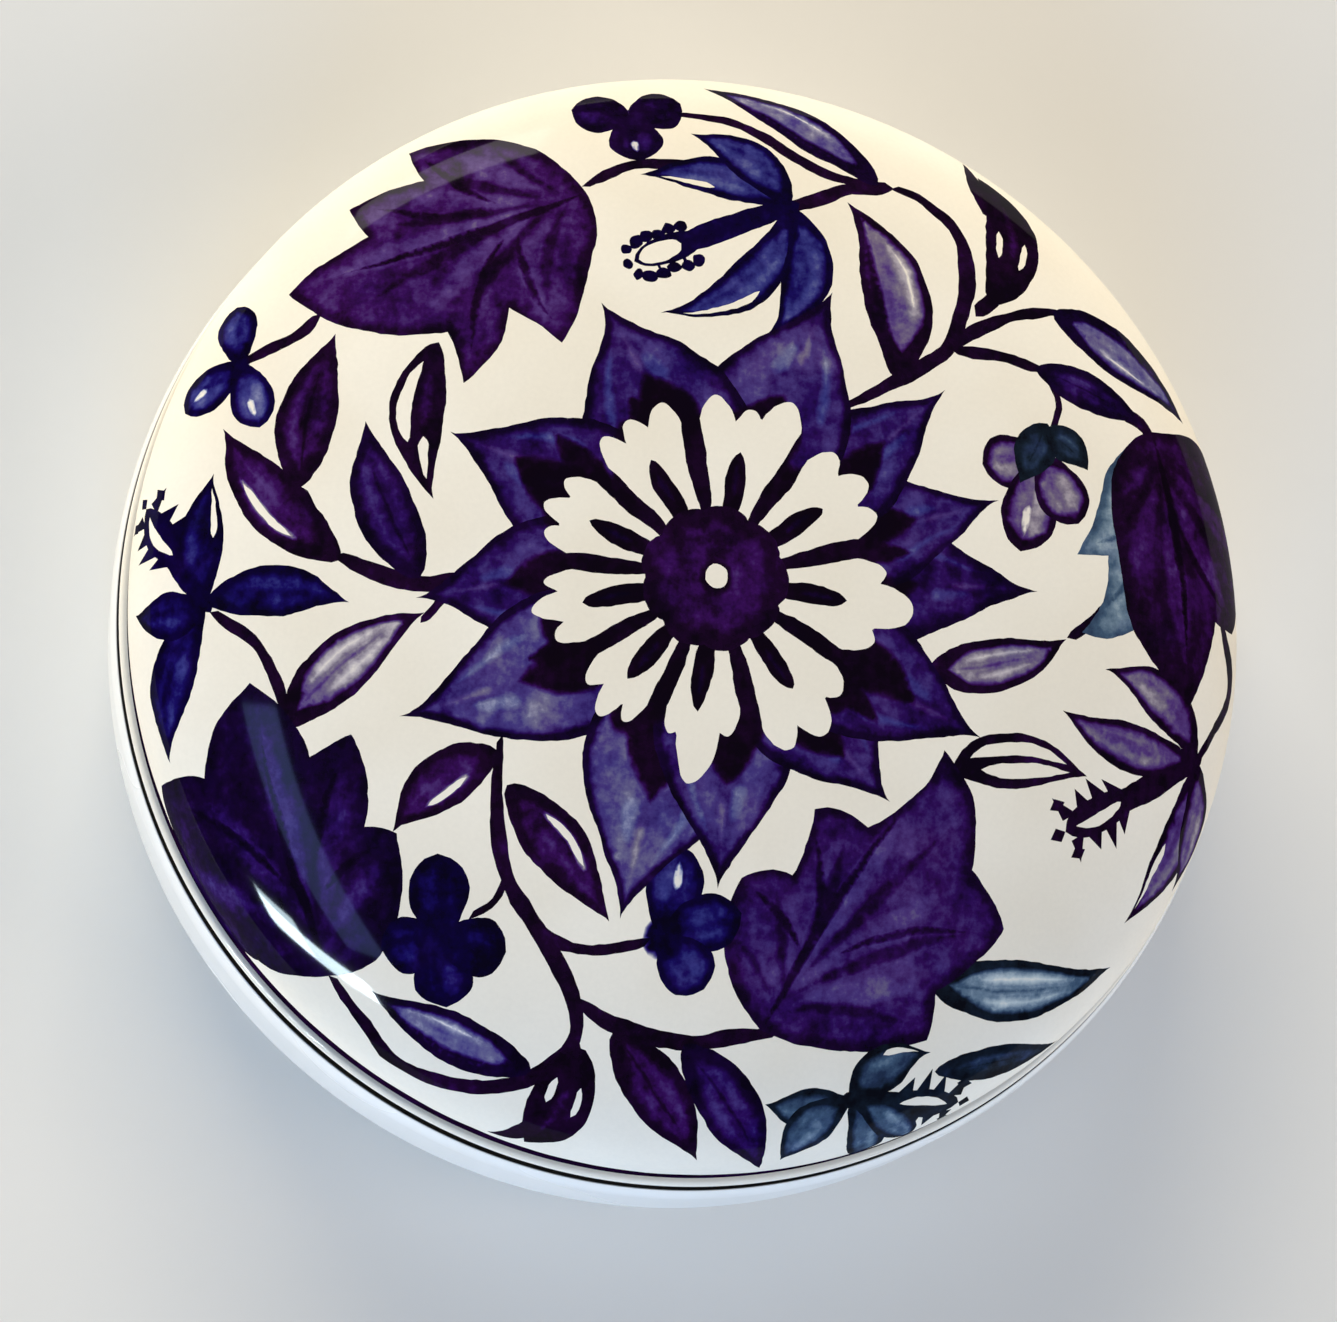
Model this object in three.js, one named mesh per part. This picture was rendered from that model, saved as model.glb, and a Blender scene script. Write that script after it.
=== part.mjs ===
// Round tin box: a drawn sheet-metal base with a narrower neck, and a domed lid that lifts off it.
// Millimetres, Z up, with the foot ring standing at Z = 0 and the tin's axis on Z.

import * as THREE from 'three';

// Sheet and fits
const sheetThickness = 0.3;
const neckClearance = 0.4;       // between the neck and the inside of the lid's skirt
const seatGap = 0.3;             // between the base's seat and the lid's curled edge

// Lid
const lidRadius = 42;            // outside of the skirt
const skirtHeight = 4;           // straight band, measured from the lid's lower edge
const domeHeight = 11.5;         // from the top of the skirt to the crown
const domeFullness = 2.2;        // 2 is an ellipse, more is squarer at the shoulder
const curlRadius = 0.45;         // outer radius of a curled edge, on the lid and on the neck
const creaseDepth = 0.12;        // how far the skirt is pinched in above the curl

// Base
const bodyRadius = 43.2;         // outside of the wall
const seatHeight = 14.2;         // from the foot to the seat under the lid's edge
const shoulderRun = 1.1;         // how far the shoulder rounds in towards the lid
const shoulderDrop = 3;          // how far the shoulder comes down the wall
const cornerRadius = 4.6;        // from the wall round to the foot ring
const footWidth = 1.6;           // flat ring that the tin stands on
const panelRise = 0.8;           // height of the bottom panel above the foot
const panelStep = 1;             // width of the slope between the foot ring and the panel
const neckHeight = 4.6;          // from the seat to the top of the neck

// How finely the turned shapes are cut
const turnSegments = 72;
const domeSteps = 15;
const innerDomeSteps = 9;
const curlSteps = 6;
const cornerSteps = 5;
const shoulderSteps = 4;

const printedEnamel = new THREE.MeshStandardMaterial({ color: 0xece5d6, roughness: 0.22, metalness: 0 });
const whiteEnamel = new THREE.MeshStandardMaterial({ color: 0xf2efe8, roughness: 0.2, metalness: 0 });

// Points on an elliptical arc; angles in degrees, 0 outwards and 90 upwards.
function arc(centreRadius, centreHeight, run, rise, startAngle, endAngle, steps) {
  const points = [];
  for (let step = 0; step <= steps; step += 1) {
    const angle = THREE.MathUtils.degToRad(startAngle + (endAngle - startAngle) * step / steps);
    const radius = centreRadius + run * Math.cos(angle);
    points.push(new THREE.Vector2(radius, centreHeight + rise * Math.sin(angle)));
  }
  return points;
}

// The dome's section from its foot to the crown, as a quarter of a superellipse.
function domeSection(radius, height, footHeight, steps) {
  const points = [];
  const power = 2 / domeFullness;
  for (let step = 0; step < steps; step += 1) {
    const angle = (Math.PI / 2) * step / steps;
    const pointRadius = radius * Math.cos(angle) ** power;
    points.push(new THREE.Vector2(pointRadius, footHeight + height * Math.sin(angle) ** power));
  }
  points.push(new THREE.Vector2(0, footHeight + height));
  return points;
}

// Turns a closed section about Z. The section runs upwards on its outer side.
function turned(name, section, material) {
  const geometry = new THREE.LatheGeometry(section, turnSegments);
  geometry.rotateX(Math.PI / 2);
  const mesh = new THREE.Mesh(geometry, material);
  mesh.name = name;
  return mesh;
}

// The lid's section stands on its own lower edge: inside of the dome, down, round the curl, and up again.
function lidSection() {
  const innerRadius = lidRadius - sheetThickness;
  const inside = domeSection(innerRadius, domeHeight - sheetThickness, skirtHeight, innerDomeSteps).reverse();
  const curlCentre = innerRadius + curlRadius;
  const creaseAngle = THREE.MathUtils.radToDeg(Math.acos((lidRadius - curlCentre) / curlRadius));
  const curl = arc(curlCentre, curlRadius, curlRadius, curlRadius, -180, creaseAngle, curlSteps);
  const crease = curl.pop();
  const pinch = new THREE.Vector2(crease.x - creaseDepth, crease.y);
  const skirtFoot = new THREE.Vector2(lidRadius, crease.y + creaseDepth);
  const outside = domeSection(lidRadius, domeHeight, skirtHeight, domeSteps);
  return [...inside, ...curl, pinch, skirtFoot, ...outside];
}

// The base's section: bottom panel, foot, corner, wall, shoulder, seat, neck, and back down the inside.
function baseSection() {
  const cornerCentre = bodyRadius - cornerRadius;
  const footInner = cornerCentre - footWidth;
  const seatEdge = bodyRadius - shoulderRun;
  const shoulderFoot = seatHeight - shoulderDrop;
  const neckRadius = lidRadius - sheetThickness - neckClearance;
  const neckInner = neckRadius - sheetThickness;
  const neckTop = seatHeight + neckHeight;
  const seatUnderside = seatHeight - sheetThickness;
  const innerCorner = cornerRadius - sheetThickness;

  const under = [
    new THREE.Vector2(0, panelRise),
    new THREE.Vector2(footInner - panelStep, panelRise),
    new THREE.Vector2(footInner, 0),
  ];
  const outerCorner = arc(cornerCentre, cornerRadius, cornerRadius, cornerRadius, -90, 0, cornerSteps);
  const outerShoulder = arc(seatEdge, shoulderFoot, shoulderRun, shoulderDrop, 0, 90, shoulderSteps);
  const neckFoot = new THREE.Vector2(neckRadius, seatHeight);
  const curlCentre = neckRadius - curlRadius;
  const neckCurl = arc(curlCentre, neckTop - curlRadius, curlRadius, curlRadius, 0, 180, curlSteps);
  const curlEnd = new THREE.Vector2(neckInner, neckTop - 2 * curlRadius);
  const innerNeckFoot = new THREE.Vector2(neckInner, seatUnderside);
  const innerShoulder = arc(seatEdge, shoulderFoot, shoulderRun - sheetThickness,
    shoulderDrop - sheetThickness, 90, 0, shoulderSteps);
  const innerBend = arc(cornerCentre, cornerRadius, innerCorner, innerCorner, 0, -90, cornerSteps);
  const floor = [
    new THREE.Vector2(footInner, sheetThickness),
    new THREE.Vector2(footInner - panelStep, panelRise + sheetThickness),
    new THREE.Vector2(0, panelRise + sheetThickness),
  ];
  return [...under, ...outerCorner, ...outerShoulder, neckFoot, ...neckCurl, curlEnd, innerNeckFoot,
    ...innerShoulder, ...innerBend, ...floor];
}

const base = turned('base', baseSection(), whiteEnamel);

const lid = turned('lid', lidSection(), printedEnamel);
lid.position.z = seatHeight + seatGap;

const tinBox = new THREE.Group();
tinBox.add(base, lid);

export default tinBox;
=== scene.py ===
"""Looks of a round tin box: glossy printed lid over a white base, on a plain pale floor."""
import math

import bpy
import numpy as np
from mathutils import Matrix, Vector, geometry, noise


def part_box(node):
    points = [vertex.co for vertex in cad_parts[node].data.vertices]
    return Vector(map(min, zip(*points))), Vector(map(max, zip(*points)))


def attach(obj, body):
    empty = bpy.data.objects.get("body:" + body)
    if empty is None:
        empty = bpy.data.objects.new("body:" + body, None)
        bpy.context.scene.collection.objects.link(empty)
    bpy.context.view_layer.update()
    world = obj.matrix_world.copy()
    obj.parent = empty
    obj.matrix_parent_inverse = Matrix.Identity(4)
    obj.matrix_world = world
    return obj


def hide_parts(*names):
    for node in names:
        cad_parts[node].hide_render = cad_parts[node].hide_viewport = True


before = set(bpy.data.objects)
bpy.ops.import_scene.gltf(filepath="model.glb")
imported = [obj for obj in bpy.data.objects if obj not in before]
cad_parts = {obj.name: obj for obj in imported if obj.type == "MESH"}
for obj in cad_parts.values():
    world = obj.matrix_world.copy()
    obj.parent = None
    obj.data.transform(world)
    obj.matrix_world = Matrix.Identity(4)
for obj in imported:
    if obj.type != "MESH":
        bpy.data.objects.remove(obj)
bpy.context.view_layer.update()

# Sizes in millimetres; Blender's own unit is the metre.
MM = 0.001
SHEET = 0.3
CURL_RADIUS = 0.45
SKIRT_HEIGHT = 4.0
DOME_HEIGHT = 11.5
DOME_FULLNESS = 2.2
SEAT_GAP = 0.3
NECK_CLEARANCE = 0.4
NECK_HEIGHT = 4.6
SHOULDER_RUN = 1.1
SHOULDER_DROP = 3.0
CORNER_RADIUS = 4.6
FOOT_WIDTH = 1.6
PANEL_RISE = 0.8
PANEL_STEP = 1.0
CREASE_DEPTH = 0.2   # pinch above the lid's bead
CREASE_WIDTH = 0.16
SHADE_BAND_HEIGHT = 2.3    # painted shade: dark band round the foot of the lid's skirt, where it rounds into the bead
DULL_EDGE = 14.0     # stretch above that band over which the varnish loses its gloss
GAP_DROP = 0.6       # depth of the groove behind the base's lip
LIP_ANGLE = 50       # degrees up the shoulder's curve, where it turns down into the groove
LIP_ROUNDING = ((0.1, 0.04), (0.17, -0.05))  # how far in and up the lip's small rounding goes
LIP_WIDTH = 0.2
INNER_LIP_ANGLE = 30

lid_low, lid_high = (Vector(corner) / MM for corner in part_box("lid"))
base_high = Vector(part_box("base")[1]) / MM
EDGE_HEIGHT = lid_low.z
CROWN_HEIGHT = lid_high.z
BODY_RADIUS = base_high.x
LID_RADIUS = lid_high.x + SHEET - 2 * CURL_RADIUS
SEAT_HEIGHT = EDGE_HEIGHT - SEAT_GAP
DOME_FOOT = EDGE_HEIGHT + SKIRT_HEIGHT

# The photograph's frame and the view that it was taken from.
PHOTO_WIDTH = 1337
PHOTO_HEIGHT = 1322
VIEW_TILT = math.radians(14.75)
VIEW_SIDE = math.radians(237.4)
VIEW_DISTANCE = 340.0
PIXELS_PER_MM = 12.61
FOOT_CENTRE_PIXEL = (656.4, 666.1)
SENSOR_WIDTH = 36.0


# Camera

def view_axes():
    """Where the camera is, and its right, up and forward directions, from the foot's centre."""
    eye = VIEW_DISTANCE * Vector((math.sin(VIEW_TILT) * math.cos(VIEW_SIDE),
                                  math.sin(VIEW_TILT) * math.sin(VIEW_SIDE), math.cos(VIEW_TILT)))
    forward = -eye.normalized()
    right = forward.cross(Vector((0, 1, 0))).normalized()
    return eye, right, right.cross(forward), forward


def make_camera():
    eye, right, up, _ = view_axes()
    aim = right * ((PHOTO_WIDTH / 2 - FOOT_CENTRE_PIXEL[0]) / PIXELS_PER_MM)
    aim += up * ((FOOT_CENTRE_PIXEL[1] - PHOTO_HEIGHT / 2) / PIXELS_PER_MM)
    forward = (aim - eye).normalized()
    side = forward.cross(Vector((0, 1, 0))).normalized()
    turn = Matrix((side, side.cross(forward), -forward)).transposed().to_4x4()
    data = bpy.data.cameras.new("camera")
    data.sensor_width = SENSOR_WIDTH
    data.lens = SENSOR_WIDTH * PIXELS_PER_MM * VIEW_DISTANCE / PHOTO_WIDTH
    data.clip_start = 0.01
    camera = bpy.data.objects.new("camera", data)
    camera.matrix_world = Matrix.Translation(eye * MM) @ turn
    bpy.context.scene.collection.objects.link(camera)
    bpy.context.scene.camera = camera


make_camera()


# The lid's skin: the printed surface, unrolled from the crown down to the crease

SECTION_SAMPLES = 4000
CREASE_RISE = math.sqrt(CURL_RADIUS ** 2 - (SHEET - CURL_RADIUS) ** 2)
SKIN_END_HEIGHT = EDGE_HEIGHT + CURL_RADIUS + CREASE_RISE + CREASE_WIDTH
SEARCH_STEPS = 120
HALVINGS = 24


def dome_samples():
    """Radius, height and length along the lid's section, from the crown to the skirt's end."""
    angle = np.linspace(0, math.pi / 2, SECTION_SAMPLES)
    radius = LID_RADIUS * np.sin(angle) ** (2 / DOME_FULLNESS)
    height = DOME_FOOT + DOME_HEIGHT * np.cos(angle) ** (2 / DOME_FULLNESS)
    radius = np.append(radius, LID_RADIUS)
    height = np.append(height, SKIN_END_HEIGHT)
    length = np.append(0, np.cumsum(np.hypot(np.diff(radius), np.diff(height))))
    return radius, height, length


SKIN_RADIUS, SKIN_HEIGHT, SKIN_LENGTH = dome_samples()
SKIN_EDGE = SKIN_LENGTH[-1]


def skin_places(flat):
    """Places and normals on the lid of points of the unrolled skin, all in mm."""
    along = np.hypot(flat[:, 0], flat[:, 1])
    turn = np.arctan2(flat[:, 1], flat[:, 0])
    radius = np.interp(along, SKIN_LENGTH, SKIN_RADIUS)
    height = np.interp(along, SKIN_LENGTH, SKIN_HEIGHT)
    over = np.clip(height - DOME_FOOT, 0, None) / DOME_HEIGHT
    out = (radius / LID_RADIUS) ** (DOME_FULLNESS - 1) / LID_RADIUS
    rise = over ** (DOME_FULLNESS - 1) / DOME_HEIGHT
    size = np.hypot(out, rise)
    places = np.stack([radius * np.cos(turn), radius * np.sin(turn), height], 1)
    normals = np.stack([out / size * np.cos(turn), out / size * np.sin(turn), rise / size], 1)
    return places, normals


def on_skin(pixel):
    """The unrolled place that a pixel of the photograph looks at."""
    eye, right, up, forward = view_axes()
    across = (pixel[0] - FOOT_CENTRE_PIXEL[0]) / (PIXELS_PER_MM * VIEW_DISTANCE)
    down = (pixel[1] - FOOT_CENTRE_PIXEL[1]) / (PIXELS_PER_MM * VIEW_DISTANCE)
    ray = forward + right * across - up * down

    def inside(depth):
        spot = eye + ray * depth
        radius = math.hypot(spot.x, spot.y)
        if radius > LID_RADIUS:
            return False
        share = (1 - (radius / LID_RADIUS) ** DOME_FULLNESS) ** (1 / DOME_FULLNESS)
        return spot.z < DOME_FOOT + DOME_HEIGHT * share

    near = (eye.z - CROWN_HEIGHT) / -ray.z
    far = (eye.z - EDGE_HEIGHT) / -ray.z
    step = (far - near) / SEARCH_STEPS
    while near < far and not inside(near):
        near += step
    low, high = near - step, near
    for _ in range(HALVINGS):
        middle = (low + high) / 2
        if inside(middle):
            high = middle
        else:
            low = middle
    spot = eye + ray * high
    radius = min(math.hypot(spot.x, spot.y), LID_RADIUS)
    if spot.z > DOME_FOOT:
        along = np.interp(radius, SKIN_RADIUS[:-1], SKIN_LENGTH[:-1])
    else:
        along = SKIN_LENGTH[-2] + DOME_FOOT - spot.z
    turn = math.atan2(spot.y, spot.x)
    return np.array([along * math.cos(turn), along * math.sin(turn)])


# Drawing on the unrolled skin: every shape is a closed loop of ink, the later over the earlier.
# First the tones of ink, from bare paper to black, then its hues.

PAPER = 0.0
PALE = 0.3
WASH = 0.5
DEEP = 0.74
DARK = 0.93
BLACK = 1.0
VIOLET = 0.0
PURPLE = 0.14
INDIGO = 0.25
BLUE = 0.5
SLATE = 1.0

SLOW_WAVES, SLOW_REACH, SLOW_LEVEL = 0.35, 0.22, 3.1  # waves per mm, reach in mm, noise level
QUICK_WAVES, QUICK_REACH, QUICK_LEVEL = 1.7, 0.08, 8.4
WOBBLE_SEED = 5
WIDE_SHAPE = 1.0  # mm, over which a soft shape has points beside its middle too

shapes = []
noise.seed_set(WOBBLE_SEED)  # the noise starts from the clock otherwise, and no two runs agree


def enclosed(points, loop):
    """Which points a loop winds round; a loop may cross itself."""
    winding = np.zeros(len(points), int)
    for (x, y), (next_x, next_y) in zip(loop, np.roll(loop, -1, 0)):
        side = (next_x - x) * (points[:, 1] - y) - (points[:, 0] - x) * (next_y - y)
        winding += (y <= points[:, 1]) & (next_y > points[:, 1]) & (side > 0)
        winding -= (y > points[:, 1]) & (next_y <= points[:, 1]) & (side < 0)
    return winding != 0


def wobble(points):
    """The small unevenness of a hand-drawn line."""
    moved = np.array(points, float)
    for index, (x, y) in enumerate(moved):
        slow = noise.noise_vector(Vector((x * SLOW_WAVES, y * SLOW_WAVES, SLOW_LEVEL)))
        quick = noise.noise_vector(Vector((x * QUICK_WAVES, y * QUICK_WAVES, QUICK_LEVEL)))
        moved[index, 0] += SLOW_REACH * slow.x + QUICK_REACH * quick.x
        moved[index, 1] += SLOW_REACH * slow.y + QUICK_REACH * quick.y
    return moved


def fill(loop, tone, hue=VIOLET, soft=0.0, strength=1.0):
    """Fills a loop with ink of this tone; soft is how far in from its edge it comes on, in mm."""
    loop = wobble(loop)
    after = np.roll(loop, -1, 0)
    area = np.sum(loop[:, 0] * after[:, 1] - after[:, 0] * loop[:, 1])
    if area < 0:
        loop = loop[::-1]
    inner = []
    if soft > 0:
        there, back = loop[1:len(loop) // 2], loop[:len(loop) // 2:-1]
        count = min(len(there), len(back))
        there, back = there[:count], back[:count]
        inner = [(there + back) / 2]
        if np.linalg.norm(there - back, axis=1).max() > WIDE_SHAPE:
            inner += [there[::2] * share + back[::2] * (1 - share) for share in (0.25, 0.75)]
    shapes.append({"loop": loop, "inner": inner, "tone": tone, "hue": hue, "soft": soft,
                   "strength": strength})


def full_turn(count):
    return np.linspace(0, 2 * math.pi, count + 1)[:-1]


def unit_circle(turn):
    return np.stack([np.cos(turn), np.sin(turn)], 1)


def square(direction):
    return np.array([-direction[1], direction[0]])


def bowed(start, end, bow, steps):
    """A curve from start to end whose middle stands off to the left by bow times its length."""
    start, end = np.asarray(start, float), np.asarray(end, float)
    control = (start + end) / 2 + 2 * bow * square(end - start)
    t = np.linspace(0, 1, steps)[:, None]
    return (1 - t) ** 2 * start + 2 * t * (1 - t) * control + t ** 2 * end


def threaded(points, spacing=0.5):
    """A smooth curve through all the points."""
    points = [np.asarray(p, float) for p in points]
    points = [2 * points[0] - points[1]] + points + [2 * points[-1] - points[-2]]
    curve = []
    for a, b, c, d in zip(points, points[1:], points[2:], points[3:]):
        steps = max(3, int(np.linalg.norm(c - b) / spacing))
        for t in np.arange(steps) / steps:
            curve.append(0.5 * (2 * b + (c - a) * t + (2 * a - 5 * b + 4 * c - d) * t ** 2
                                + (3 * b - a - 3 * c + d) * t ** 3))
    curve.append(points[-2])
    return np.array(curve)


def ribbon(path, left, right):
    """The loop round a path, left and right of it by these widths."""
    along = np.gradient(path, axis=0)
    along /= np.linalg.norm(along, axis=1)[:, None] + 1e-9
    across = np.stack([-along[:, 1], along[:, 0]], 1)
    sides = path + across * np.asarray(left)[:, None], path - across * np.asarray(right)[:, None]
    return np.concatenate([sides[0], sides[1][::-1][1:-1]])


def blade(base, tip, width, bow=0.0, belly=1.0, point=1.0, trim=(0.0, 1.0), left=1.0, right=1.0):
    """A leaf's outline; belly over 1 widens it nearer the tip, point over 1 sharpens its ends."""
    steps = max(18, int(np.linalg.norm(np.asarray(tip) - base) / 0.34))
    path = bowed(base, tip, bow, steps)
    t = np.linspace(0, 1, steps)
    half = width / 2 * np.clip(np.sin(math.pi * t ** belly), 0, None) ** (point * (0.75 + 0.5 * t))
    inside = (t >= trim[0]) & (t <= trim[1])
    path, half, t = path[inside], half[inside], np.linspace(0, 1, inside.sum())
    closing = np.clip(np.minimum(t, 1 - t) * 5, 0, 1) ** 0.6 if trim != (0.0, 1.0) else 1.0
    middle = half * (left - right) / 2
    wide = half * (left + right) / 2 * closing + 0.004
    return ribbon(path, middle + wide, wide - middle)


TAPER = 0.35  # share of a brushed line's width that is left at its ends
UNEVEN_WAVES, UNEVEN_SHARE, UNEVEN_LEVEL = 0.45, 0.28, 5.5


def stroke(points, width, hue=VIOLET):
    """A brushed line of uneven width."""
    path = threaded(points) if len(points) > 2 else bowed(points[0], points[1], 0.06, 10)
    t = np.linspace(0, 1, len(path))
    ends = TAPER + (1 - TAPER) * np.clip(np.minimum(t, 1 - t) * 6, 0, 1) ** 0.7
    spots = [Vector((x * UNEVEN_WAVES, y * UNEVEN_WAVES, UNEVEN_LEVEL)) for x, y in path]
    uneven = np.array([1 + UNEVEN_SHARE * noise.noise(spot) for spot in spots])
    half = width / 2 * ends * uneven
    fill(ribbon(path, half, half), DARK, hue)


def photo(*pixels):
    """Places on the skin under these pixels of the photograph."""
    return [on_skin(pixel) for pixel in pixels]


# Leaves

LINE = 0.5


def striped(base, tip, width, bow, sides, tone, hue, soft, strength, trim, belly=0.9):
    """A soft stripe along a leaf between these shares of its half width; left is above 0."""
    fill(blade(base, tip, width, bow, belly, 1.2, trim, sides[1], -sides[0]), tone, hue, soft,
         strength)


# A leaf's stripes: both edges as shares of the half width, tone, softness in mm, strength, and
# where along the leaf it starts and ends
LEAF_LOOKS = {
    "dark": ((-1.0, 1.0, DEEP + 0.06, 0.5, 1.0, 0.06, 0.93),
             (0.15, 0.8, DEEP - 0.06, 0.45, 0.85, 0.15, 0.85),
             (-0.75, -0.25, DEEP - 0.02, 0.4, 0.8, 0.3, 0.9),
             (-0.16, 0.1, DARK, 0.16, 0.9, 0.05, 0.8)),
    "pale": ((-1.0, 1.0, WASH - 0.08, 0.3, 1.0, 0.1, 0.94),
             (0.22, 0.78, PALE - 0.2, 0.5, 0.95, 0.2, 0.88),
             (-0.74, -0.2, PALE - 0.14, 0.45, 0.9, 0.26, 0.8),
             (-0.12, 0.14, DEEP - 0.12, 0.25, 0.9, 0.06, 0.84)),
    "shaded": ((-1.0, 1.0, WASH - 0.05, 0.35, 1.0, 0.1, 0.94),
               (-0.9, -0.2, PALE - 0.1, 0.7, 0.85, 0.22, 0.9),
               (-0.66, -0.5, PAPER + 0.06, 0.12, 0.9, 0.34, 0.72),
               (0.4, 1.0, DARK, 0.35, 1.0, 0.04, 0.97)),
    "slit": ((-1.0, 1.0, DEEP + 0.06, 0.4, 1.0, 0.08, 0.93),
             (-0.5, 0.1, DEEP - 0.1, 0.5, 0.8, 0.3, 0.92),
             (0.3, 0.8, PALE, 0.2, 0.9, 0.2, 0.74),
             (0.4, 0.72, PAPER, 0.0, 1.0, 0.26, 0.68)),
    "loop": ((-0.1, 0.7, DEEP + 0.04, 0.4, 0.9, 0.12, 0.6),
             (-1.0, -0.36, PAPER, 0.0, 1.0, 0.12, 0.66),
             (-0.1, 0.6, PAPER, 0.0, 1.0, 0.6, 0.9)),
    "open": ((0.22, 0.88, PAPER, 0.0, 1.0, 0.12, 0.86),
             (-0.86, -0.14, PAPER, 0.0, 1.0, 0.18, 0.88)),
}


def leaf(base, tip, width, bow, look, hue):
    """A vine leaf: a dark outline with the stripes of its look inside."""
    base, tip = photo(base, tip)
    fill(blade(base, tip, width, bow, 0.84, 0.95), DARK, hue)
    for low, high, tone, soft, strength, *ends in LEAF_LOOKS[look]:
        striped(base, tip, width - 2 * LINE, bow, (low, high), tone, hue, soft, strength,
                tuple(ends))


FOLDS = 11
FOLD_SPREAD = 62


def broad_leaf(corners, bulges, main, hue, body, notched):
    """A lobed leaf, whose corners start at the base; each edge stands out by its bulge.

    main is the corner of the middle lobe; the corners in notched lie between lobes."""
    corners = photo(*corners)
    after = corners[1:] + corners[:1]
    turn = sum(a[0] * b[1] - b[0] * a[1] for a, b in zip(corners, after))
    outward = -1 if turn > 0 else 1
    edges = []
    for a, b, bulge in zip(corners, after, bulges):
        steps = max(5, int(np.linalg.norm(b - a) / 0.4))
        edges.append(bowed(a, b, outward * bulge, steps)[:-1])
    outline = np.concatenate(edges)
    fill(outline, min(body + 0.16, DARK), hue)
    hub = outline.mean(0)
    fill(hub + (outline - hub) * 0.96, body, hue, 0.7)
    base, tip = corners[0], corners[main]
    axis = tip - base
    for index in range(FOLDS):
        lean = 2 * index / (FOLDS - 1) - 1
        swing = math.radians(FOLD_SPREAD * lean)
        course = np.array([axis[0] * math.cos(swing) - axis[1] * math.sin(swing),
                           axis[0] * math.sin(swing) + axis[1] * math.cos(swing)])
        root = base + axis * (0.06 + 0.1 * (1 - abs(lean)))
        reach = np.linspace(0.02, 1.2, 60)
        inside = enclosed(root + reach[:, None] * course, outline)
        share = 0.9 * (reach[-1] if inside.all() else reach[np.argmin(inside)])
        end = root + course * share
        length = np.linalg.norm(end - root)
        if length < 3:
            continue
        if index % 2:
            fold = blade(root, end, min(2.4, length * 0.22), -0.05 * lean, 1.25, 1.1)
            fill(fold, body - 0.1 - 0.05 * (index % 3), hue, 0.6, 0.8)
        else:
            fold = blade(root, end, min(1.3, length * 0.12), -0.07 * lean, 1.1, 1.1)
            fill(fold, min(body + 0.17, DARK), hue, 0.3, 0.8)
    rib = min(body + 0.2, BLACK)
    for index, lobe in enumerate(corners):
        if index in (0, main, *notched):
            continue
        root = base + axis * 0.22 + (lobe - base) * 0.12
        side = 1 if (lobe - base) @ square(axis) > 0 else -1
        end = root + (lobe - root) * 0.84
        fill(blade(root, end, 0.8, -0.07 * side, 1.0, 0.9), rib, hue, 0.16, 0.85)
    fill(blade(base, base + axis * 0.88, 0.9, 0.03, 0.8, 0.9), rib, hue, 0.16, 0.9)


# Flowers

# A petal's washes: where along it they start and end, their width to the left and right, change of
# tone, softness in mm and strength
PETAL_LAYERS = (
    ((0.08, 0.95), 1.0, 1.0, 0.16, 0.35, 1.0),
    ((0.25, 0.92), 0.85, 0.1, -0.02, 0.5, 0.85),
    ((0.35, 0.85), -0.25, 0.7, 0.04, 0.4, 0.8),
)


def petal(hub, end, width, bow, hue, light, belly, point):
    """A petal with a dark outline and a wash that is lighter along one side."""
    fill(blade(hub, end, width, bow, belly, point), DARK, hue)
    inner = width - 1.6 * LINE
    for trim, left, right, change, soft, strength in PETAL_LAYERS:
        fill(blade(hub, end, inner, bow, belly, point, trim, left, right), light + change, hue,
             soft, strength)


def small_flower(hub, ends, width, hue, light, eye, slit):
    """Round petals about a dark eye; those in slit have a bare streak at their end."""
    hub, *ends = photo(hub, *ends)
    for index, end in enumerate(ends):
        petal(hub, end, width, 0.0, hue, light, 1.3, 0.52)
        if index in slit:
            striped(hub, end, width - LINE, 0.0, (-0.3, 0.1), PALE - 0.24, hue, 0.14, 0.95,
                    (0.5, 0.88), 1.3)
    fill(hub + eye * unit_circle(full_turn(19)), DARK, hue, 0.3)


def spiked_tuft(tuft, along, across, hue):
    """A dark tuft with pointed stamens on both sides and a bare slit."""
    fill(blade(tuft - along * 3.4, tuft + along * 3.0, 2.7, 0.0, 1.1, 0.5), DARK, hue)
    for side in (-1, 1):
        for step in range(4):
            out = across * side
            root = tuft + along * (step * 1.45 - 2.1) + out * (0.8 + 0.3 * math.sin(step * 1.1))
            point = root + out * (1.5 + 0.4 * (step % 2)) + along * (0.6 - 0.25 * (step % 3))
            fill(np.array([root - along * 0.62, point, root + along * 0.6]), DARK, hue)
    for side in (-1, 0, 1):
        spot = tuft + along * (3.6 - 0.9 * abs(side)) + across * side * 1.9
        fill(np.array([spot - along * 0.6, spot + across * 0.5, spot + along * 0.7,
                       spot - across * 0.55]), DARK, hue)
    fill(blade(tuft - along * 2.2, tuft + along * 2.0, 0.85, 0.08, 1.0, 0.7), PAPER, hue)


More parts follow.
